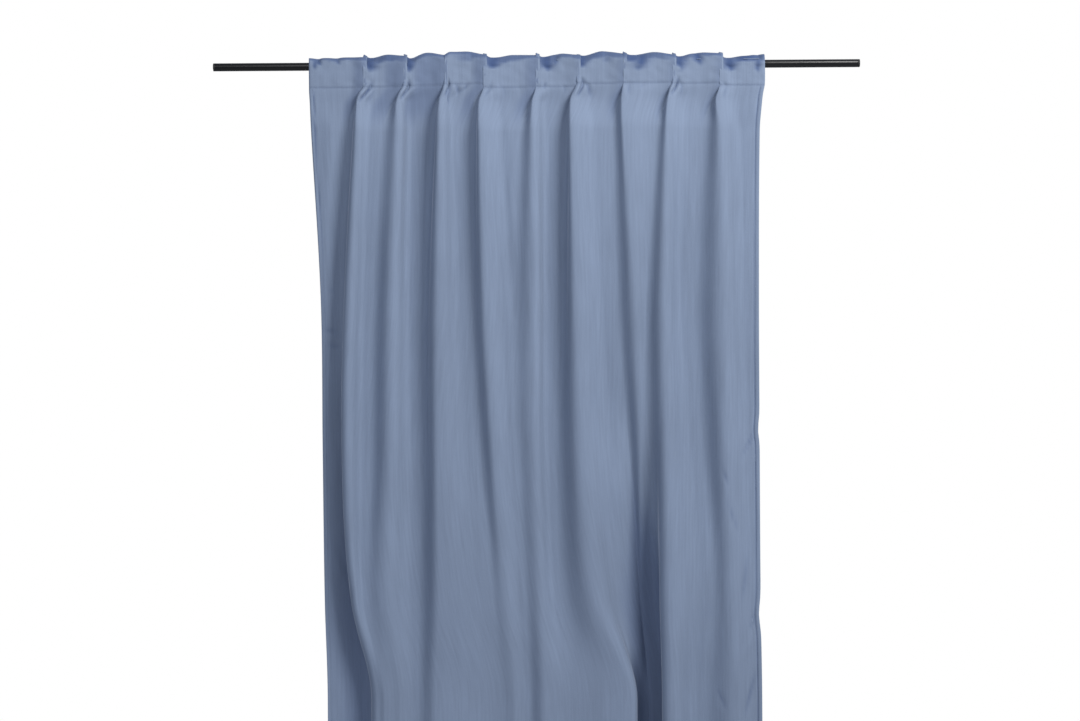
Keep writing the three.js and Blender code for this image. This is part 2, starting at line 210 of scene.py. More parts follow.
# Rows in the heading, and bands of rows below the stitch line: the height at their foot and how many
# rows each has. The foot hem is sewn where the last band begins. The back face has every second row
# and column, so the number of rows is odd.
HEADING_ROWS = 28
HEM_ROWS = 9
BANDS = ((-165, 30), (-520, 22), (-690, 18), (-860, 8), (-1010, 13), (-1280, 12), (-1570, 22),
         (FOOT_Z + 90, 12), (FOOT_Z, HEM_ROWS))
BACK_STEP = 2
# Where the stitch line's ups and downs have levelled out, down the cloth.
LEVEL_ROWS_Z = -460
# Unevenness: the width and height of its patches and its depth, in millimetres. The first two sway
# the scoops and the top edge's roll, and the third breaks up the painted shade band under the top edge.
SCOOP_SWAY = (13, 11, 1.0)
ROLL_SWAY = (22, 400, 0.6)
BAND_PATCHES = (9, 7, 0.38)
SOFT_PATCHES = ((62, 330, 1.0), (24, 120, 0.4))
HEADING_CRUMPLE = (17, 16, 0.9)
NECK_CRUMPLE = (15, 34, 0.7)
# How strong the painted shade is where the heading tips back and in the deep pit, and the depths
# behind the rod's axis over which the pit's painted shade grows.
HEADING_PAINTED_SHADE, PIT_PAINTED_SHADE = 0.75, 0.42
PIT_START, PIT_FADE = 4, 26
# The highest place where a tab is sewn on, in millimetres, and how many columns a tab has.
TAB_TOP_Z = 11.5
TAB_COLUMNS = 15
# How far the side hems' stitches run from the hem's fold line, in millimetres.
HEM_STITCH_INSET = 1.5
# The ring round a plug's dish and the dish's depth, in metres.
PLUG_RING = 0.0022
PLUG_DISH = 0.0004


def smooth(t):
    """The smooth step between 0 and 1."""
    t = np.clip(t, 0, 1)
    return t * t * (3 - 2 * t)


def mix(a, b, t):
    """A number or colour between two others."""
    return a + (b - a) * t


def in_order(edges, crests, valleys):
    """The rows of the side edges, crests and valleys, in their order along the rod."""
    rows = np.zeros((2 * len(crests) + 1, len(LEVEL_Z)))
    rows[0], rows[-1] = edges
    rows[1::2] = crests
    rows[2:-1:2] = valleys
    return rows


TURNS_X = in_order(EDGE_X, CREST_X, VALLEY_X)
TURNS_Y = in_order(EDGE_Y, CREST_Y, VALLEY_Y)


def at_heights(table, z):
    """Reads each row of a table at the heights z, on a smooth curve through its columns."""
    table = np.atleast_2d(table)
    z = np.clip(z, LEVEL_Z[-1], LEVEL_Z[0])
    i = np.clip(np.searchsorted(-LEVEL_Z, -z, side="right") - 1, 0, len(LEVEL_Z) - 2)
    slope = np.zeros_like(table, float)
    slope[:, 1:-1] = (table[:, 2:] - table[:, :-2]) / (LEVEL_Z[2:] - LEVEL_Z[:-2])
    span = LEVEL_Z[i + 1] - LEVEL_Z[i]
    t = (z - LEVEL_Z[i]) / span
    bend = (1 - t) ** 2 * t * span * slope[:, i] - (1 - t) * t * t * span * slope[:, i + 1]
    return (mix(table[:, i], table[:, i + 1], smooth(t)) + bend).T


def swing_share(share, turn, crisp):
    """How much of its swing angle a stretch of cloth has at a share of its length."""
    return np.sin(np.pi * np.minimum(1, share / turn) ** crisp)


def swing_shapes(z):
    """For each height and stretch, the direction at each plan step as a share of the swing angle."""
    forward = np.arange(2 * FOLDS) % 2 == 0
    turn = np.where(forward, 1.0, at_heights(LEVEL_TURN, z))
    turn[:, SLOW_STRETCHES] = 1.0
    crisp = np.where(forward, at_heights(LEVEL_CRISPNESS, z), 1.0)
    share = (np.arange(PLAN_STEPS) + 0.5) / PLAN_STEPS
    return swing_share(share, turn[:, :, None], crisp[:, :, None]), turn, crisp


def largest(low, high, rounds, fits):
    """The largest values between two limits that still fit, found by halving."""
    for _ in range(rounds):
        middle = (low + high) / 2
        fit = fits(middle)
        low = np.where(fit, middle, low)
        high = np.where(fit, high, middle)
    return low


def mean_direction(angle, shapes):
    """The mean run along the rod and across it of stretches that swing by an angle."""
    swing = angle[:, :, None] * shapes
    return np.cos(swing).mean(axis=2), np.sin(swing).mean(axis=2)


def solve_swing(dx, dy, shapes, rounds):
    """The swing angle and the cloth's length that join two places in plan."""
    wanted = np.arctan2(np.abs(dy), dx)

    def turns_less(angle):
        along, across = mean_direction(angle, shapes)
        return np.arctan2(across, along) < wanted

    angle = largest(np.zeros_like(wanted), np.full_like(wanted, SWING_LIMIT), rounds, turns_less)
    return angle * np.sign(dy), np.hypot(dx, dy) / np.hypot(*mean_direction(angle, shapes))


def turning_points(z, swell):
    """Places of the side edges, crests and valleys at the heights z, in order along the rod."""
    y = at_heights(TURNS_Y, z)
    middle = at_heights(MIDDLE_Y, z)
    return at_heights(TURNS_X, z), middle + swell[:, None] * (y - middle)


def plan_lines(z, flat_width, shapes):
    """For each height, the stretches of cloth between turning points, swollen to the flat width."""

    def stretches(swell, rounds):
        x, y = turning_points(z, swell)
        return x, y, *solve_swing(np.diff(x), np.diff(y), shapes, rounds)

    def is_short(swell):
        return stretches(swell, TRIAL_ROUNDS)[3].sum(axis=1) < flat_width

    low, high = (np.full(len(z), limit) for limit in SWELL_RANGE)
    return stretches(largest(low, high, SWELL_ROUNDS, is_short), FINAL_ROUNDS)


class Sheet:
    """The panel's middle surface as a grid: rows run down the cloth, columns run along the rod."""

    def __init__(self, settings):
        self.flat_width = settings.flat_width / MM
        self.make_columns()
        self.make_rows()
        self.lay_plan()
        self.set_heights()
        self.wrinkle(settings)

    def make_columns(self):
        """Columns as stretch numbers and shares of their lengths, closer at crests and valleys."""
        stretch = [0]
        share = [0.0]
        for s in range(2 * FOLDS):
            parts = COLUMNS_BACK if s % 2 else COLUMNS_FORWARD
            for i in range(1, parts + 1):
                even = i / parts
                stretch.append(s)
                share.append(mix(even, float(smooth(even)), 0.6) if s % 2 else 1 - (1 - even) ** 1.5)
        self.stretch = np.array(stretch)
        self.share = np.array(share)

    def make_rows(self):
        """Rows as heights in the plan and, in the heading, as a rise from stitch line to top edge."""
        rise = 1 - (np.arange(HEADING_ROWS) / HEADING_ROWS) ** 1.1
        tops = [STITCH_Z, *(foot for foot, _ in BANDS)]
        body = [np.linspace(top, foot, count, endpoint=False) for top, (foot, count) in zip(tops, BANDS)]
        self.z = np.concatenate([np.full(len(rise), STITCH_Z), *body, [FOOT_Z]])
        self.rise = np.concatenate([rise, np.zeros(len(self.z) - len(rise))])
        self.stitch_row = len(rise)
        self.hem_row = len(self.z) - HEM_ROWS - 1

    def lay_plan(self):
        """Places the grid in plan, with the direction in which the cloth runs and its arc length."""
        shapes, turn, crisp = swing_shapes(self.z)
        x, y, angle, length = plan_lines(self.z, self.flat_width, shapes)
        direction = angle[:, :, None] * shapes
        step = (length / PLAN_STEPS)[:, :, None]
        knots = np.arange(PLAN_STEPS + 1) / PLAN_STEPS
        ahead = np.zeros((*length.shape, len(knots)))
        aside = np.zeros_like(ahead)
        ahead[:, :, 1:] = np.cumsum(np.cos(direction), axis=2) * step
        aside[:, :, 1:] = np.cumsum(np.sin(direction), axis=2) * step
        self.start = np.zeros_like(length)
        self.start[:, 1:] = np.cumsum(length, axis=1)[:, :-1]
        shape = (len(self.z), len(self.stretch))
        self.x, self.y, self.run, self.arc = (np.zeros(shape) for _ in range(4))
        for j, (s, share) in enumerate(zip(self.stretch, self.share)):
            for i in range(len(self.z)):
                self.x[i, j] = x[i, s] + np.interp(share, knots, ahead[i, s])
                self.y[i, j] = y[i, s] + np.interp(share, knots, aside[i, s])
            self.run[:, j] = angle[:, s] * swing_share(share, turn[:, s], crisp[:, s])
            self.arc[:, j] = self.start[:, s] + share * length[:, s]

    def set_heights(self):
        """Sets the height of every point: uneven top edge, uneven stitch line, level foot."""
        fold = (self.stretch + 1) // 2
        corner, dip, crown, end, stitch = SECTIONS[np.maximum(0, fold - 1)].T
        next_corner, _, _, _, next_stitch = SECTIONS[np.minimum(fold, FOLDS - 1)].T
        t = smooth(self.share)
        on_step_top = mix(np.where(fold == 0, next_corner, end), next_corner, t)
        on_step_stitch = mix(stitch, next_stitch, t)
        dip_share, crown_share = 0.13, 0.55
        falling = mix(crown, end, smooth((self.share - crown_share) / (1 - crown_share)))
        rising = mix(dip, crown, smooth((self.share - dip_share) / (crown_share - dip_share)))
        ear = mix(corner, dip, smooth(self.share / dip_share) ** 0.7)
        top = np.where(self.share < crown_share, rising, falling)
        top = np.where(self.share < dip_share, ear, top)
        step = self.stretch % 2 == 0
        self.top = np.where(step, on_step_top, top)
        self.stitch = np.where(step, on_step_stitch, stitch)
        fade = smooth((self.z - LEVEL_ROWS_Z) / (STITCH_Z - LEVEL_ROWS_Z))[:, None]
        self.height = self.z[:, None] + self.rise[:, None] * (self.top - self.stitch)
        self.height = self.height + (self.stitch - STITCH_Z) * fade

    def from_fold(self, fold):
        """The distance of every point from a fold's edge, along the cloth."""
        return self.arc - self.start[:, 2 * fold + 1][:, None]

    def from_side(self):
        """The distance of every point from the nearer side edge, along the cloth."""
        return np.minimum(self.arc, self.flat_width - self.arc)

    def uneven(self, rng, across, down, depth):
        """Smooth noise over the cloth, in patches of the given size."""
        return lattice_noise(rng, self.arc, self.height, across, down) * depth

    def paint_shade(self, amount):
        """Adds painted shade, except where the painted shade is stronger already."""
        self.painted_shade = np.maximum(self.painted_shade, amount)

    def wrinkle(self, settings):
        """Adds scoops, pinches, creases, puckers and a soft unevenness to the plain folds."""
        rng = np.random.default_rng(settings.seed)
        below_top = self.top[None, :] - self.height
        self.painted_shade = np.zeros_like(self.x)
        self.push = np.zeros_like(self.x)
        self.scoop_heading(rng, below_top)
        self.lap_sections()
        self.hold_shelf()
        self.press_creases()
        self.draw_in_seams(settings)
        self.soften(rng, below_top)
        self.x = self.x - np.sin(self.run) * self.push
        self.y = self.y + np.cos(self.run) * self.push + self.lean
        self.rest_on_rod()
        self.pucker_edge()

    def scoop_heading(self, rng, below_top):
        """Rolls the top edge back and hollows the heading under it, with painted shade in the hollows and
        in a band under the top edge.
        """
        sway_across, sway_down, flare, full_dark_lean = 2.2, 0.22, 1.4, 11
        band_height, band_sway, band_dark = 11, 7, 0.75
        sway = self.uneven(rng, *SCOOP_SWAY)
        roll = smooth(1 - below_top / EDGE_ROLL_HEIGHT)
        self.lean = EDGE_ROLL_LEAN * roll ** 1.5 * (1 + self.uneven(rng, *ROLL_SWAY))
        for fold, place, width, height, reach, drift in SCOOPS:
            up = np.clip(1 - below_top / (1.15 * height * (1 + sway_down * sway)), 0, 1)
            off_centre = self.from_fold(fold) - place - drift * up + sway_across * sway
            across = np.exp(-((off_centre / (width * (1.0 + flare * up))) ** 2))
            self.lean += reach * across * up ** 1.35
            # Painted shade in each hollow, strongest where it leans back most.
            self.paint_shade(min(1, reach / full_dark_lean) * across ** 0.7 * smooth(2.6 * up))
        # Painted shade in a patchy band under the top edge, where it rolls back.
        patches = 1 - BAND_PATCHES[2] + self.uneven(rng, *BAND_PATCHES)
        self.paint_shade(band_dark * (smooth(1.15 - below_top / (band_height + band_sway * sway)) * patches))

    def lap_sections(self):
        """Brings each section's right end forward over the next fold, and paints shade on that end there.
        """
        lap_depth, lap_foot, lap_fade = 6, -125, 75
        dim_dark, dim_foot, dim_fade = 0.32, -160, 70
        on_back = self.stretch % 2 == 1
        lap = np.where(on_back, smooth((self.share - 0.6) / 0.4), 1 - smooth(self.share / 0.5))
        lap = np.where((self.stretch == 0) | (self.stretch == 2 * FOLDS - 1), 0, lap)
        self.lean -= lap_depth * lap * smooth((self.z[:, None] - lap_foot) / lap_fade)
        # Painted shade on the right end of each section, in the heading and just under it.
        starts = np.array(DIM_STARTS)[np.minimum((self.stretch - 1) // 2, FOLDS - 1)]
        dim = on_back * smooth((self.share - starts) / 0.25)
        self.paint_shade(dim_dark * (dim * smooth((self.height - dim_foot) / dim_fade)))

    def hold_shelf(self):
        """Keeps the cloth forward beside the deep pit, before it drops in."""
        on_shelf = (self.stretch == SHELF_STRETCH) * np.sin(np.pi * self.share ** 2)
        starting, ending = ((top - self.z) / fade for top, fade in SHELF_FADES)
        self.lean -= SHELF_DEPTH * on_shelf * (smooth(starting) * (1 - smooth(ending)))[:, None]

    def press_creases(self):
        """Presses in the pinches below the heading and the creases lower down, with painted shade in the
        pinches' troughs and in the narrow creases' troughs.
        """
        for fold, *ends, depth, width in PINCHES:
            line = (self.from_fold(fold), self.height, *ends)
            self.push += ridge_and_trough(*line, depth, width)
            # Painted shade in each pinch's trough.
            self.paint_shade(0.9 * trough(*line, depth / 10, 0.6 * width))
        front = np.cos(self.run) > 0.2
        widest_shaded_crease, darkest_crease_shade = 8, 0.42
        for *ends, depth, width in CREASES:
            mark = front * trough(self.x, self.height, *ends, 1.0, width)
            self.push += depth * mark
            # Painted shade in the troughs of narrow creases.
            if depth > 0 and width < widest_shaded_crease:
                self.paint_shade(min(darkest_crease_shade, 0.17 * depth) * mark ** 1.5)

    def draw_in_seams(self, settings):
        """Draws the cloth in a little along its rows of stitches, unevenly, and paints shade along them."""
        stitch_depth, stitch_reach, seam_depth, seam_reach = 0.6, 1.8, 2.0, 1.5
        near_stitch = np.exp(-(((self.height - self.stitch) / stitch_reach) ** 2))
        tug = 1 + 0.5 * np.sin(self.arc / 4.1) * np.sin(self.arc / 23.0)
        self.push += stitch_depth * near_stitch * tug
        near_seam = np.exp(-(((self.from_side() - settings.side_hem / MM) / seam_reach) ** 2))
        near_seam *= smooth((self.stitch - self.height) / 10)
        flatter_left = 0.25 + 0.75 * smooth((self.height + 500) / 250)
        near_seam *= np.where(self.arc > self.flat_width / 2, 1, flatter_left)
        self.push += seam_depth * near_seam * (1 + 0.3 * np.sin(self.height / 9.0))
        # Painted shade along the stitched grooves of the side hems and the heading, together with the pile
        # pressed down by the thread.
        self.paint_shade(0.6 * np.maximum(near_seam, 0.3 * near_stitch))

    def soften(self, rng, below_top):
        """Adds the cloth's soft unevenness, which is finer in the heading and in the neck."""
        soft = sum(lattice_noise(rng, self.x, self.height, across, down) * depth
                   for across, down, depth in SOFT_PATCHES)
        self.push += soft * smooth((STITCH_Z + 10 - self.height) / 140)
        in_heading = smooth((self.height - self.stitch) / 12) * smooth(below_top / 4)
        self.push += self.uneven(rng, *HEADING_CRUMPLE) * in_heading
        neck_z, neck_reach = -80, 40
        in_neck = np.exp(-(((self.height - neck_z) / neck_reach) ** 2))
        self.push += self.uneven(rng, *NECK_CRUMPLE) * in_neck

    def rest_on_rod(self):
        """Lays the cloth on the rod, and never into it."""
        clear = ROD_RADIUS_MM + ROD_CLEARANCE
        on_rod = -np.sqrt(np.maximum(0, clear ** 2 - self.height ** 2))
        self.y = np.where(np.abs(self.height) < clear, np.minimum(self.y, on_rod), self.y)

    def pucker_edge(self):
        """Draws the right-hand edge in at its puckers."""
        reach_in = 60
        near_edge = smooth(1 - (self.flat_width - self.arc) / reach_in)
        for z, height, inward in EDGE_PUCKERS:
            self.x -= inward * near_edge * np.exp(-(((self.height - z) / height) ** 2))

    def normals(self):
        """The points, and unit normals that point away from the room."""
        points = np.stack([self.x, self.y, self.height], axis=2)
        across = np.gradient(points, axis=1)
        down = np.gradient(points, axis=0)
        normal = np.cross(across, -down)
        normal /= np.linalg.norm(normal, axis=2, keepdims=True) + 1e-9
        return points, -normal

    def half_thickness(self, settings):
        """Half the cloth's thickness: more in the hems, less where its edges are rounded."""
        in_hem = (self.height < FOOT_Z + settings.foot_hem / MM) | (self.height > self.stitch + 0.5)
        side = self.from_side() / (settings.side_hem / MM)
        folded = np.where(in_hem, 1.0, 1 - smooth((side - 0.9) / 0.25))
        half = mix(settings.thickness / MM, settings.hem_thickness / MM, folded)[:, :, None] / 2
        edge = np.minimum(np.minimum(self.from_side(), self.top - self.height), self.height - FOOT_Z)
        edge_share, rounding = 0.45, 1.6
        return half * mix(edge_share, 1.0, smooth(edge[:, :, None] / rounding))

    def down_line(self, inset, *fields):
        """Each field along a line down from the stitch line, at a distance from the left edge."""
        rows = range(self.stitch_row, len(self.z))
        return [np.array([[np.interp(inset, self.arc[i], field[i, :, k]) for k in range(3)] for i in rows])
                for field in fields]


def segment_distance(a, b, a_0, b_0, a_1, b_1):
    """Signed distance of points from a line, how far past its ends they are, and the share along it."""
    da, db = a_1 - a_0, b_1 - b_0
    length = math.hypot(da, db)
    along = ((a - a_0) * da + (b - b_0) * db) / (length * length)
    side = ((a - a_0) * db - (b - b_0) * da) / length
    beyond = np.maximum(0, np.maximum(-along, along - 1)) * length
    return side, beyond, along


def trough(a, b, a_0, b_0, a_1, b_1, depth, width):
    """A soft trough along a segment, deepest at its middle."""
    side, beyond, along = segment_distance(a, b, a_0, b_0, a_1, b_1)
    ends = np.clip(np.sin(np.pi * np.clip(along, 0.04, 0.96)), 0, 1) ** 0.6
    return depth * ends * np.exp(-(side**2 + beyond**2) / width**2)


def ridge_and_trough(a, b, a_0, b_0, a_1, b_1, depth, width):
    """A trough with a steeper right wall, and a soft ridge on the side of the fold's edge."""
    on_right = segment_distance(a, b, a_0, b_0, a_1, b_1)[0] < 0
    cut = trough(a, b, a_0, b_0, a_1, b_1, depth, np.where(on_right, 0.7 * width, 1.2 * width))
    shift = 1.7 * width
    return cut - trough(a, b, a_0 - shift, b_0, a_1 - shift, b_1, depth * 0.55, width)


def lattice_noise(rng, a, b, size_a, size_b):
    """Smooth noise of about unit height on a lattice of the given sizes."""
    a = (a - a.min()) / size_a
    b = (b - b.min()) / size_b
    grid = rng.uniform(-1, 1, (int(a.max()) + 2, int(b.max()) + 2))
    i, j = a.astype(int), b.astype(int)
    s, t = smooth(a - i), smooth(b - j)
    return mix(mix(grid[i, j], grid[i + 1, j], s), mix(grid[i, j + 1], grid[i + 1, j + 1], s), t)


# Meshes

def deselect():
    """Leaves nothing selected, so that an operator acts only on what follows."""
    bpy.ops.object.select_all(action="DESELECT")


def new_object(name, vertices, faces):
    """A mesh object from points in millimetres."""
    mesh = bpy.data.meshes.new(name)
    mesh.from_pydata([tuple(v) for v in np.asarray(vertices) * MM], [], faces)
    mesh.validate()
    piece = bpy.data.objects.new(name, mesh)
    bpy.context.collection.objects.link(piece)
    mesh.shade_smooth()
    return piece


def closed_grid(front, back, step=1):
    """A closed sheet from the points of its two faces, with rows running down.

    The back face uses every step-th row and column. Returns the points in use, the faces, and the
    points' numbers in the two grids.
    """
    rows, columns = front.shape[:2]
    f, b = np.arange(2 * rows * columns).reshape(2, rows, columns)
    b = b[::step, ::step]
    faces = []

    def tiles(*corners):
        faces.extend(np.stack(corners, axis=-1).reshape(-1, len(corners)).tolist())

    def rim(near, far, turned):
        parts = [near[k:len(near) - step + k:step] for k in range(step + 1)] + [far[1:], far[:-1]]
        tiles(*(reversed(parts) if turned else parts))

    tiles(f[:-1, :-1], f[1:, :-1], f[1:, 1:], f[:-1, 1:])
    tiles(b[:-1, :-1], b[:-1, 1:], b[1:, 1:], b[1:, :-1])
    rim(f[:, 0], b[:, 0], True)
    rim(f[:, -1], b[:, -1], False)
    rim(f[0], b[0], False)
    rim(f[-1], b[-1], True)
    kept = np.unique(np.concatenate([np.asarray(face) for face in faces]))
    renumbered = np.zeros(2 * rows * columns, int)
    renumbered[kept] = np.arange(len(kept))
    points = np.concatenate([front.reshape(-1, 3), back.reshape(-1, 3)])[kept]
    return points, [tuple(renumbered[list(face)].tolist()) for face in faces], kept


def set_uv(piece, u, v, scale, kept):
    """Lays the cloth's flat place into a UV map: both faces beside each other in the unit square."""
    back_shift = 0.5
    flat = np.stack([u.ravel(), v.ravel()], axis=1) * MM / scale
    flat = np.concatenate([flat, flat + [back_shift, 0]])[kept]
    layer = piece.data.uv_layers.new(name="cloth")
    loops = np.zeros(len(piece.data.loops), np.int32)
    piece.data.loops.foreach_get("vertex_index", loops)
    layer.data.foreach_set("uv", flat[loops].astype(np.float32).ravel())


def set_painted_shade(piece, values, kept):
    """How much painted shade each vertex has, the same on both faces of a sheet."""
    attribute = piece.data.attributes.new("painted_shade", "FLOAT", "POINT")
    both = np.concatenate([values.ravel(), values.ravel()])[kept]
    attribute.data.foreach_set("value", both.astype(np.float32))


def thread_row(points, normals, stitch, gap, radius, sides=5):
    """Short rounded stitches along a line of points. Returns vertices and faces, in millimetres."""
    steps = np.linalg.norm(np.diff(points, axis=0), axis=1)
    arc = np.concatenate([[0], np.cumsum(steps)])
    vertices, faces = [], []
    # A stitch's rings: the share along it, the lift off the cloth and the thickness, in radii.
    profile = ((0.0, -0.35, 0.6), (0.2, 0.45, 1.0), (0.5, 0.75, 1.0), (0.8, 0.45, 1.0), (1.0, -0.35, 0.6))

    def read(line, at):
        return np.array([np.interp(at, arc, line[:, k]) for k in range(3)])

    place = gap
    while place + stitch < arc[-1]:
        rings = []
        for share, lift, thickness in profile:
            at = place + share * stitch
            centre, normal = read(points, at), read(normals, at)
            ahead = read(points, at + 0.4) - centre
            ahead /= np.linalg.norm(ahead) + 1e-9
            side = np.cross(ahead, normal)
            ring = []
            for n in range(sides):
                turn = 2 * math.pi * n / sides
                offset = normal * (lift + thickness * math.cos(turn)) + side * thickness * math.sin(turn)
                ring.append(len(vertices))
                vertices.append(centre + radius * offset)
            rings.append(ring)
        for low, high in zip(rings[:-1], rings[1:]):
            for n in range(sides):
                m = (n + 1) % sides
                faces.append((low[n], low[m], high[m], high[n]))
        faces.append(tuple(reversed(rings[0])))
        faces.append(tuple(rings[-1]))
        place += stitch + gap
    return vertices, faces


# Materials

def node_maker(owner):
    """Shorthand for adding nodes to a material or world and linking them."""
    tree = owner.node_tree
    tree.nodes.clear()

    def add(kind, inputs=(), **settings):
        node = tree.nodes.new(kind)
        for key, value in settings.items():
            setattr(node, key, value)
        for key, value in dict(inputs).items():
            if isinstance(value, bpy.types.NodeSocket):
                tree.links.new(value, node.inputs[key])
            else:
                node.inputs[key].default_value = value
        return node

    return add


def new_material(name):
    """A material without nodes, with the shorthand for adding them."""
    material = bpy.data.materials.new(name)
    material.use_nodes = True
    return material, node_maker(material)


def on_object(add):
    """The piece's own coordinates, in metres."""
    return add("ShaderNodeTexCoord").outputs["Object"]


def noise(add, place, size, detail, stretch=None, rough=0.5):
    """A noise pattern, on coordinates that are stretched first where stretch is given."""
    if stretch:
        place = add("ShaderNodeMapping", {"Vector": place, "Scale": stretch}).outputs["Vector"]
    values = {"Vector": place, "Scale": size, "Detail": detail, "Roughness": rough}
    return add("ShaderNodeTexNoise", values).outputs["Fac"]


def ramp(add, factor, low, high):
    """A colour ramp between two pairs of place and grey or colour."""
    node = add("ShaderNodeValToRGB", {"Fac": factor})
    for element, (place, colour) in zip(node.color_ramp.elements, (low, high)):
        element.position = place
        element.color = (*colour, 1) if isinstance(colour, tuple) else (colour, colour, colour, 1)
    return node.outputs["Color"]


def tint(colour, share):
    """A colour made darker or lighter."""
    return tuple(channel * share for channel in colour)


def output(add, colour, rough, relief=None, more=()):
    """The shader and the material's output. relief is a pattern with its bump's strength and depth."""
    values = {"Base Color": colour, "Roughness": rough, **dict(more)}
    if relief:
        bump = dict(zip(("Height", "Strength", "Distance"), relief))
        values["Normal"] = add("ShaderNodeBump", bump).outputs[0]
    shader = add("ShaderNodeBsdfPrincipled", values)
    add("ShaderNodeOutputMaterial", {"Surface": shader.outputs[0]})


def velvet_material(settings, name="velvet"):
    """Short-pile velvet: soft sheen, brushed pile tone, fine pile grain and a faint weave, with painted
    shade towards a darker, bluer colour.
    """
    material, add = new_material(name)
    uv = add("ShaderNodeUVMap", uv_map="cloth").outputs["UV"]
    scale = (settings.uv_scale,) * 3
    metres = add("ShaderNodeMapping", {"Vector": uv, "Scale": scale}).outputs["Vector"]
    brushed = noise(add, metres, 5.5, 4, (1, 0.35, 1), 0.6)
    streaks = noise(add, metres, 190, 3, (1, 0.04, 1), 0.6)
    grain = noise(add, metres, 900, 2, (1, 0.7, 1), 0.6)
    tufts = noise(add, metres, 260, 3, (1, 0.8, 1), 0.6)

    def blend(a, b, factor, mode):
        values = {0: factor, 6: a, 7: b}
        return add("ShaderNodeMix", values, data_type="RGBA", blend_type=mode).outputs[2]

    # Painted shade: the attribute read here blends the cloth colour towards the darker, bluer shade colour
    # in hollows, pits, creases, seams and the tipped-back heading.
    shade_mask = add("ShaderNodeAttribute", attribute_name="painted_shade").outputs["Fac"]
    body = blend((*settings.cloth_colour, 1), (*settings.painted_shade_colour, 1), shade_mask, "MIX")
    for pattern, dark, light in ((brushed, 0.93, 1.05), (streaks, 0.93, 1.05), (grain, 0.84, 1.12)):
        body = blend(body, ramp(add, pattern, (0.3, dark), (0.7, light)), 1.0, "MULTIPLY")
    height = add("ShaderNodeMath", {0: grain, 1: tufts}, operation="ADD").outputs[0]
    output(add, body, 0.92, (height, 0.35, 0.0007), {
        "Specular IOR Level": 0.15,
        "Sheen Weight": settings.sheen,
        "Sheen Roughness": 0.3,
        "Sheen Tint": (*settings.sheen_colour, 1),
    })
    return material


def thread_material(settings):
    """Polyester sewing thread in the cloth's own colour, a little deeper."""
    material, add = new_material("sewing_thread")
    twist = noise(add, on_object(add), 1600, 2)
    deep, light = tint(settings.cloth_colour, 0.62), tint(settings.cloth_colour, 0.95)
    output(add, ramp(add, twist, (0.35, deep), (0.65, light)), 0.6, (twist, 0.4, 0.0002))
    return material


def rod_material(settings):
    """Satin black powder coat with its fine orange peel and faint handling marks."""
    material, add = new_material("rod_paint")
    place = on_object(add)
    peel = noise(add, place, 700, 3)
    marks = noise(add, place, 60, 4, (0.12, 1, 1))
    colour = ramp(add, marks, (0.4, tuple(settings.rod_colour)), (0.75, tint(settings.rod_colour, 1.7)))
    rough = ramp(add, marks, (0.3, 0.27), (0.7, 0.34))
    output(add, colour, rough, (peel, 0.18, 0.0003), {"Specular IOR Level": 0.3})
    return material


def plug_material(settings):
    """Black moulded plastic with a fine spark grain."""
    material, add = new_material("rod_plug")
    grain = noise(add, on_object(add), 1400, 2)
    black, grey = tint(settings.rod_colour, 0.6), tint(settings.rod_colour, 1.2)
    rough = ramp(add, grain, (0.3, 0.55), (0.7, 0.7))
    output(add, ramp(add, grain, (0.35, black), (0.7, grey)), rough, (grain, 0.3, 0.0003))
    return material


def floor_material():
    """Pale seamless paper."""
    material, add = new_material("studio_floor")
    fibre = noise(add, on_object(add), 40, 4)
    output(add, ramp(add, fibre, (0.3, 0.64), (0.7, 0.69)), 0.9)
    return material


# Settings that a user would change

class ClothSettings(bpy.types.PropertyGroup):
    """The curtain's cloth: its flat size, its thickness and its colours."""

    flat_width: FloatProperty(
        name="Flat width", description="Finished width of the panel laid flat", default=1.30,
        min=1.2, max=2.0, unit="LENGTH")
    thickness: FloatProperty(
        name="Thickness", description="Thickness of one layer of velvet with its pile",
        default=0.0016, unit="LENGTH")
    hem_thickness: FloatProperty(
        name="Hem thickness", description="Thickness where the cloth is folded over and sewn",
        default=0.0026, unit="LENGTH")
    side_hem: FloatProperty(
        name="Side hem", description="Width of the side hems", default=0.010, unit="LENGTH")
    foot_hem: FloatProperty(
        name="Foot hem", description="Height of the foot hem", default=0.080, unit="LENGTH")
    seed: IntProperty(name="Seed", description="Seed of the soft unevenness", default=11)
    uv_scale: FloatProperty(
        name="Map size", description="Metres of cloth across the unit square of the UV map",
        default=2.76, unit="LENGTH")
    cloth_colour: FloatVectorProperty(
        name="Cloth colour", description="Velvet seen on its upright pile", subtype="COLOR",
        default=(0.197, 0.247, 0.345), min=0, max=1)
    # The colour of painted shade, which the cloth takes where its attribute paints shade.
    painted_shade_colour: FloatVectorProperty(
        name="Nap colour", description="Velvet seen into its pile, where it tips back", subtype="COLOR",
        default=(0.055, 0.088, 0.190), min=0, max=1)
    sheen_colour: FloatVectorProperty(
        name="Sheen colour", description="Tint of the sheen on the pile's tips", subtype="COLOR",
        default=(0.75, 0.82, 0.95), min=0, max=1)
    sheen: FloatProperty(
        name="Sheen", description="Strength of the sheen", default=0.6, min=0, max=1, subtype="FACTOR")


class TabSettings(bpy.types.PropertyGroup):
    """The strips that carry the panel on the rod, hidden behind it, and the sewing thread."""

    thickness: FloatProperty(
        name="Thickness", description="Thickness of a folded strip", default=0.0014, unit="LENGTH")
    clearance: FloatProperty(
        name="Clearance", description="Gap between strip and rod", default=0.00035, unit="LENGTH")
    stitch: FloatProperty(
        name="Stitch", description="Length of one stitch", default=0.0030, unit="LENGTH")
    stitch_gap: FloatProperty(
        name="Stitch gap", description="Space between stitches", default=0.0011, unit="LENGTH")
    thread: FloatProperty(
        name="Thread radius", description="Radius of the sewing thread", default=0.00022, unit="LENGTH")


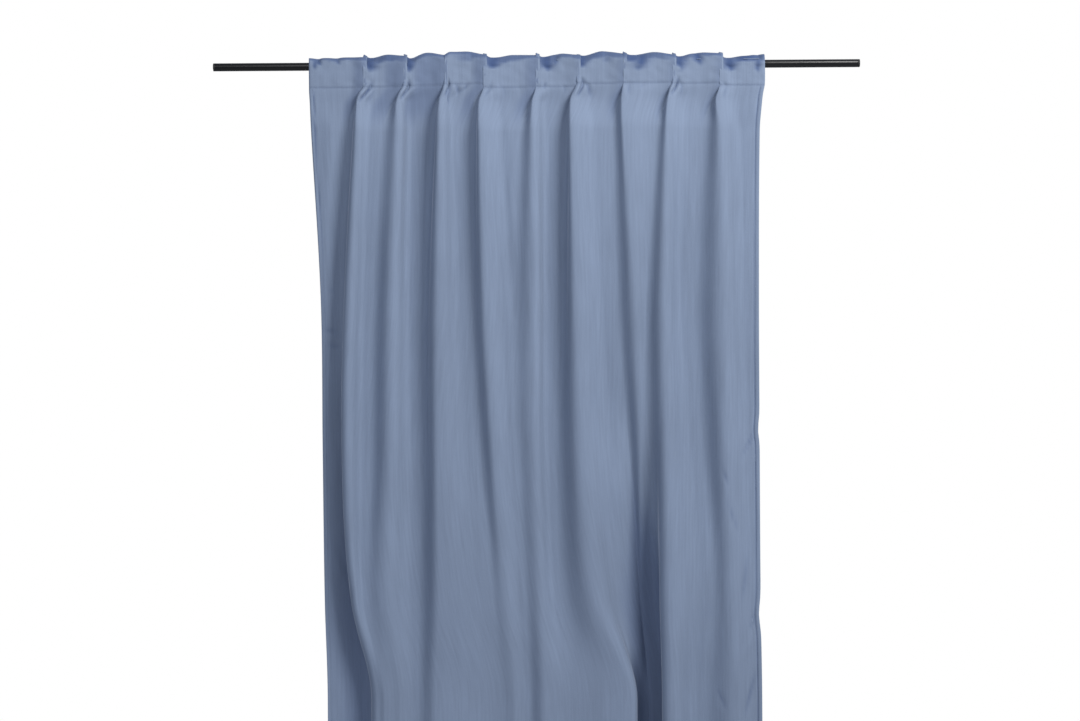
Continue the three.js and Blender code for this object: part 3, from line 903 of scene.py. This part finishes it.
class RodSettings(bpy.types.PropertyGroup):
    """The rod and its end plugs."""

    rim: FloatProperty(
        name="Rim", description="Radius on the plugs' edges, twice the rod's",
        default=0.0006, unit="LENGTH")
    rod_colour: FloatVectorProperty(
        name="Rod colour", description="Powder coat on the rod", subtype="COLOR",
        default=(0.005, 0.005, 0.0055), min=0, max=1)


class StageSettings(bpy.types.PropertyGroup):
    """The studio: camera, floor and lights."""

    camera_distance: FloatProperty(
        name="Camera distance", description="From the rod's axis to the camera", default=4.5, unit="LENGTH")
    view_width: FloatProperty(
        name="View width", description="Width of the picture at the rod's axis",
        default=2.592, unit="LENGTH")
    camera_x: FloatProperty(
        name="Camera X", description="Camera's place along the rod", default=0.0037, unit="LENGTH")
    camera_z: FloatProperty(
        name="Camera Z", description="Camera's height from the rod's axis", default=-0.7086, unit="LENGTH")
    camera_roll: FloatProperty(
        name="Camera roll", description="How far the camera leans to its right",
        default=math.radians(0.38), subtype="ANGLE")
    floor_gap: FloatProperty(
        name="Floor gap", description="Space between the curtain's foot and the floor",
        default=0.02, unit="LENGTH")
    backdrop_colour: FloatVectorProperty(
        name="Backdrop colour", description="Colour behind the curtain", subtype="COLOR",
        default=(1.0, 1.0, 1.0), min=0, max=1)
    ambient: FloatProperty(
        name="Ambient", description="Strength of the light that comes from all round", default=0.29)
    ambient_colour: FloatVectorProperty(
        name="Ambient colour", description="Colour of the light that comes from all round",
        subtype="COLOR", default=(0.90, 1.0, 1.22), min=0, max=2)


# Operators

_made = {}


def finish_piece(piece, material, slot, *nodes):
    """Gives a finished piece its material and ties it to the frame."""
    piece.data.materials.append(material)
    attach(piece, "root")
    if nodes:
        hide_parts(*nodes)


class CURTAIN_OT_panel(bpy.types.Operator):
    """Builds the velvet panel: heading, folds, creases and hems in one sheet"""

    bl_idname = "curtain.panel"
    bl_label = "Velvet Panel"

    def execute(self, context):
        settings = context.scene.curtain_cloth
        sheet = Sheet(settings)
        points, normal = sheet.normals()
        half = sheet.half_thickness(settings)
        front, back = points - normal * half, points + normal * half
        vertices, faces, kept = closed_grid(front, back, BACK_STEP)
        piece = new_object("velvet_panel", vertices, faces)
        set_uv(piece, sheet.arc, sheet.height - FOOT_Z, settings.uv_scale, kept)
        # Painted shade: darker and bluer where the heading faces upward as it tips back over the rod.
        tilt = smooth((-normal[:, :, 2] - 0.06) / 0.5) * smooth((sheet.height - sheet.stitch + 8) / 14)
        sheet.paint_shade(HEADING_PAINTED_SHADE * tilt)
        # Painted shade in the deep pit behind the rod's axis.
        sheet.paint_shade(PIT_PAINTED_SHADE * smooth((sheet.y - PIT_START) / PIT_FADE))
        set_painted_shade(piece, sheet.painted_shade, kept)
        finish_piece(piece, velvet_material(settings), "velvet", "curtain_panel")
        _made.update(sheet=sheet, front=front, back=back, normal=normal, panel=piece)
        return {"FINISHED"}


def tab_path(node, settings):
    """The middle line of a tab across the rod: from the panel's back, over and round the rod."""
    low, high = (corner / MM for corner in map(np.array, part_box(node)))
    radius = ROD_RADIUS_MM + settings.clearance / MM + settings.thickness / MM / 2
    start_y = low[1] + 0.2
    top_z = min(high[2] - 1.2, TAB_TOP_Z)
    foot_z = low[2] + 1.0

    def tangent(y, z, side):
        return math.atan2(z, y) + side * math.acos(radius / math.hypot(y, z))

    begin, end = tangent(start_y, top_z, -1), tangent(start_y, foot_z, 1)
    arc = [(radius * math.cos(a), radius * math.sin(a)) for a in np.linspace(begin, end, 22)]
    down = np.linspace(arc[-1], (start_y, foot_z), 12)[1:]
    up = np.linspace((start_y, top_z), arc[0], 4)[:-1]
    return np.concatenate([up, arc, down]), (low[0], high[0])


def tab_faces(path, left, right, arc, settings, rng):
    """Both faces of a tab as grids, with the direction from its middle to the one at the rod."""
    across = np.linspace(left, right, TAB_COLUMNS)
    edge = mix(0.62, 1.0, smooth(np.minimum(across - left, right - across) / 1.4))
    ahead = np.gradient(path, axis=0)
    ahead /= np.linalg.norm(ahead, axis=1, keepdims=True)
    sag = rng.uniform(-0.5, 0.5) * np.sin(np.pi * (across - left) / (right - left))
    free = smooth((arc - arc[-1] * 0.55) / 14) * smooth((arc[-1] - arc) / 10)
    middle = np.zeros((len(path), len(across), 3))
    middle[:, :, 0] = across
    middle[:, :, 1] = path[:, 0][:, None] + free[:, None] * (0.6 + sag)
    middle[:, :, 2] = path[:, 1][:, None]
    inward = np.zeros_like(middle)
    inward[:, :, 1] = ahead[:, 1][:, None]
    inward[:, :, 2] = -ahead[:, 0][:, None]
    half = settings.thickness / MM / 2 * edge[None, :, None]
    return middle + inward * half, middle - inward * half, inward


class CURTAIN_OT_back_tabs(bpy.types.Operator):
    """Builds the ten strips that go round the back of the rod"""

    bl_idname = "curtain.back_tabs"
    bl_label = "Back Tabs"

    def execute(self, context):
        cloth = context.scene.curtain_cloth
        material = velvet_material(cloth, "velvet_strip")
        rng = np.random.default_rng(cloth.seed + 1)
        _made["tabs"] = []
        for node in TAB_NODES:
            path, (left, right) = tab_path(node, context.scene.curtain_tabs)
            steps = np.linalg.norm(np.diff(path, axis=0), axis=1)
            arc = np.concatenate([[0], np.cumsum(steps)])
            front, back, inward = tab_faces(path, left, right, arc, context.scene.curtain_tabs, rng)
            vertices, faces, kept = closed_grid(front, back)
            piece = new_object("tab_strip_" + node[-2:], vertices, faces)
            flat = np.broadcast_to((arc[-1] - arc)[:, None], front.shape[:2])
            set_uv(piece, front[:, :, 0] - left, flat, cloth.uv_scale, kept)
            set_painted_shade(piece, np.zeros(flat.shape), kept)
            finish_piece(piece, material, "velvet", node)
            _made["tabs"].append({"piece": piece, "outer": back, "normal": -inward, "arc": arc})
        return {"FINISHED"}


def tab_lines(tab):
    """Sewing lines on a tab: along both edges, and across the foot end."""
    outer, normal = tab["outer"], tab["normal"]
    return (outer[:, 2], normal[:, 2]), (outer[:, -3], normal[:, -3]), (outer[-3], normal[-3])


def new_threads(name, rows, sizes):
    """One mesh of all the stitches along several lines."""
    vertices, faces = [], []
    for points, normals in rows:
        length = np.linalg.norm(normals, axis=1, keepdims=True)
        more, tiles = thread_row(points, normals / length, *sizes)
        base = len(vertices)
        vertices.extend(more)
        faces.extend(tuple(base + corner for corner in tile) for tile in tiles)
    return new_object(name, vertices, faces)


class CURTAIN_OT_stitches(bpy.types.Operator):
    """Sews the heading, the side hems, the foot hem and the tabs with rows of thread"""

    bl_idname = "curtain.stitches"
    bl_label = "Stitches"

    def execute(self, context):
        tabs = context.scene.curtain_tabs
        cloth = context.scene.curtain_cloth
        sheet, normal = _made["sheet"], _made["normal"]
        sides = ((_made["front"], -normal), (_made["back"], normal))
        rows = (sheet.stitch_row, sheet.hem_row)
        seams = [(face[row], lift[row]) for row in rows for face, lift in sides]
        inset = cloth.side_hem / MM - HEM_STITCH_INSET
        for place in (inset, sheet.flat_width - inset):
            seams.extend(sheet.down_line(place, *side) for side in sides)
        tab_seams = [line for tab in _made["tabs"] for line in tab_lines(tab)]
        sizes = (tabs.stitch / MM, tabs.stitch_gap / MM, tabs.thread / MM)
        material = thread_material(cloth)
        _made["threads"] = []
        for name, lines in (("seam_threads", seams), ("tab_threads", tab_seams)):
            piece = new_threads(name, lines, sizes)
            finish_piece(piece, material, "velvet")
            _made["threads"].append(piece)
        return {"FINISHED"}


def round_bar(name, centre_x, length, rim):
    """A round bar along X with rounded rims, its place in its mesh."""
    deselect()
    bpy.ops.mesh.primitive_cylinder_add(
        vertices=96, radius=ROD_RADIUS_MM * MM, depth=length, location=(centre_x, 0, 0),
        rotation=(0, math.pi / 2, 0))
    piece = bpy.context.object
    piece.name = name
    piece.data.name = name
    bpy.ops.object.transform_apply(location=True, rotation=True, scale=True)
    bevel = piece.modifiers.new("rim", "BEVEL")
    bevel.width = rim
    bevel.segments = 3
    bevel.limit_method = "ANGLE"
    bevel.angle_limit = math.radians(50)
    bpy.ops.object.modifier_apply(modifier=bevel.name)
    bpy.ops.object.shade_smooth_by_angle(angle=math.radians(35))
    return piece


class CURTAIN_OT_rod(bpy.types.Operator):
    """Builds the round rod"""

    bl_idname = "curtain.rod"
    bl_label = "Rod"

    def execute(self, context):
        settings = context.scene.curtain_rod
        length = ROD_HIGH[0] - ROD_LOW[0]
        piece = round_bar("round_rod", (ROD_HIGH[0] + ROD_LOW[0]) / 2, length, settings.rim / 2)
        finish_piece(piece, rod_material(settings), "rod_paint", "rod")
        return {"FINISHED"}


class CURTAIN_OT_plugs(bpy.types.Operator):
    """Builds the plugs in the rod's ends, each with a shallow dished face"""

    bl_idname = "curtain.plugs"
    bl_label = "Rod Plugs"

    def execute(self, context):
        settings = context.scene.curtain_rod
        material = plug_material(settings)
        for side, outward in (("left", -1), ("right", 1)):
            node = "rod_plug_" + side
            low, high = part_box(node)
            piece = round_bar("end_plug_" + side, (low[0] + high[0]) / 2, high[0] - low[0], settings.rim)
            mesh = bmesh.new()
            mesh.from_mesh(piece.data)
            cap = [face for face in mesh.faces if face.normal.x * outward > 0.99 and len(face.verts) > 8]
            bmesh.ops.inset_region(mesh, faces=cap, thickness=PLUG_RING, depth=0)
            bmesh.ops.inset_region(mesh, faces=cap, thickness=PLUG_DISH, depth=-PLUG_DISH)
            mesh.to_mesh(piece.data)
            mesh.free()
            finish_piece(piece, material, "rod_plug", node)
        return {"FINISHED"}


class CURTAIN_OT_declare(bpy.types.Operator):
    """Takes no step: it declares nothing and only finishes"""

    bl_idname = "curtain.declare"
    bl_label = "Declare Cloth"

    def execute(self, context):
        return {"FINISHED"}


def area_light(name, place, target, width, power, colour=(1, 1, 1)):
    """A soft square light that faces a target."""
    light = bpy.data.lights.new(name, "AREA")
    light.shape = "RECTANGLE"
    light.size = light.size_y = width
    light.energy = power
    light.color = colour
    lamp = bpy.data.objects.new(name, light)
    bpy.context.collection.objects.link(lamp)
    lamp.location = place
    direction = np.array(target, float) - np.array(place, float)
    yaw = math.atan2(direction[1], direction[0])
    pitch = math.atan2(direction[2], math.hypot(direction[0], direction[1]))
    lamp.rotation_euler = (math.pi / 2 + pitch, 0, yaw - math.pi / 2)


class CURTAIN_OT_stage(bpy.types.Operator):
    """Sets up the camera, the floor, the backdrop's light and the lamps"""

    bl_idname = "curtain.stage"
    bl_label = "Studio"

    def execute(self, context):
        settings = context.scene.curtain_stage
        scene = context.scene
        camera = bpy.data.cameras.new("camera")
        camera.sensor_width = 36.0
        camera.lens = camera.sensor_width * settings.camera_distance / settings.view_width
        viewer = bpy.data.objects.new("camera", camera)
        bpy.context.collection.objects.link(viewer)
        viewer.location = (settings.camera_x, -settings.camera_distance, settings.camera_z)
        viewer.rotation_euler = (math.pi / 2, settings.camera_roll, 0)
        scene.camera = viewer
        deselect()
        bpy.ops.mesh.primitive_circle_add(
            vertices=96, radius=3.4, fill_type="NGON",
            location=(0, 0, PANEL_LOW[2] - settings.floor_gap))
        floor = bpy.context.object
        floor.name = "studio_floor"
        floor.data.materials.append(floor_material())
        self.backdrop(scene, settings)
        area_light("key_light", (2.6, -2.6, 2.0), (0, 0, 0.9), 1.7, 204, (1.0, 0.99, 0.965))
        area_light("fill_light", (-1.2, -3.9, 1.7), (0, 0, 0), 2.0, 60)
        scene.view_settings.view_transform = "Standard"
        return {"FINISHED"}

    def backdrop(self, scene, settings):
        """A white surround that looks brighter than it lights."""
        world = bpy.data.worlds.new("studio")
        world.use_nodes = True
        add = node_maker(world)
        seen = add("ShaderNodeLightPath").outputs["Is Camera Ray"]
        soft, plain = (*settings.ambient_colour, 1), (*settings.backdrop_colour, 1)
        glow = add("ShaderNodeBackground", {"Color": soft, "Strength": settings.ambient}).outputs[0]
        white = add("ShaderNodeBackground", {"Color": plain, "Strength": 1.0}).outputs[0]
        mixed = add("ShaderNodeMixShader", {0: seen, 1: glow, 2: white}).outputs[0]
        add("ShaderNodeOutputWorld", {"Surface": mixed})
        scene.world = world


class CURTAIN_PT_panel(bpy.types.Panel):
    """Lists the curtain's pieces in the order in which they are built"""

    bl_label = "Curtain"
    bl_idname = "CURTAIN_PT_panel"
    bl_space_type = "VIEW_3D"
    bl_region_type = "UI"
    bl_category = "Curtain"

    def draw(self, context):
        for group in ("curtain_cloth", "curtain_tabs", "curtain_rod", "curtain_stage"):
            box = self.layout.box()
            values = getattr(context.scene, group)
            for name in type(values).__annotations__:
                box.prop(values, name)
        for operator in STEPS:
            self.layout.operator(operator.bl_idname)


STEPS = (CURTAIN_OT_rod, CURTAIN_OT_plugs, CURTAIN_OT_panel, CURTAIN_OT_back_tabs,
         CURTAIN_OT_stitches, CURTAIN_OT_declare, CURTAIN_OT_stage)
GROUPS = {"curtain_cloth": ClothSettings, "curtain_tabs": TabSettings,
          "curtain_rod": RodSettings, "curtain_stage": StageSettings}


def register():
    for group in GROUPS.values():
        bpy.utils.register_class(group)
    for cls in (*STEPS, CURTAIN_PT_panel):
        bpy.utils.register_class(cls)
    for name, group in GROUPS.items():
        setattr(bpy.types.Scene, name, PointerProperty(type=group))


def unregister():
    for name in GROUPS:
        delattr(bpy.types.Scene, name)
    for cls in (CURTAIN_PT_panel, *reversed(STEPS)):
        bpy.utils.unregister_class(cls)
    for group in GROUPS.values():
        bpy.utils.unregister_class(group)


def main():
    register()
    bpy.ops.curtain.rod()
    bpy.ops.curtain.plugs()
    bpy.ops.curtain.panel()
    bpy.ops.curtain.back_tabs()
    bpy.ops.curtain.stitches()
    bpy.ops.curtain.declare()
    bpy.ops.curtain.stage()


if __name__ == "__main__":
    main()
